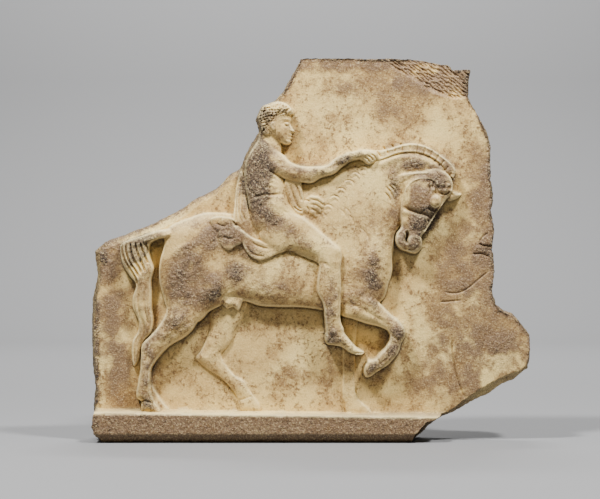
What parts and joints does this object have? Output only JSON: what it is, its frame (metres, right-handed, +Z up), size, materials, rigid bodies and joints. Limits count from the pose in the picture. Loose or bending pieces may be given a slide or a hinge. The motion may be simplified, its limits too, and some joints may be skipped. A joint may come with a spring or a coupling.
{
  "type": "marble votive relief",
  "caption": "Broken marble votive relief slab carved with a nude rider on a striding horse above a plain ground ledge, standing upright on its flat underside.",
  "frame": {"origin": "centre of the bounding box in plan, at the underside", "axes": "+Z up, -Y out of the carved face, +X towards the horse's head, to the right as seen from the front"},
  "size_m": [0.522, 0.0851, 0.455],
  "materials": {
    "weathered_marble": "honed marble, weathered, with tan and grey-brown patina"
  },
  "bodies": {
    "root": {"votive_relief": "weathered_marble"}
  },
  "joints": []
}
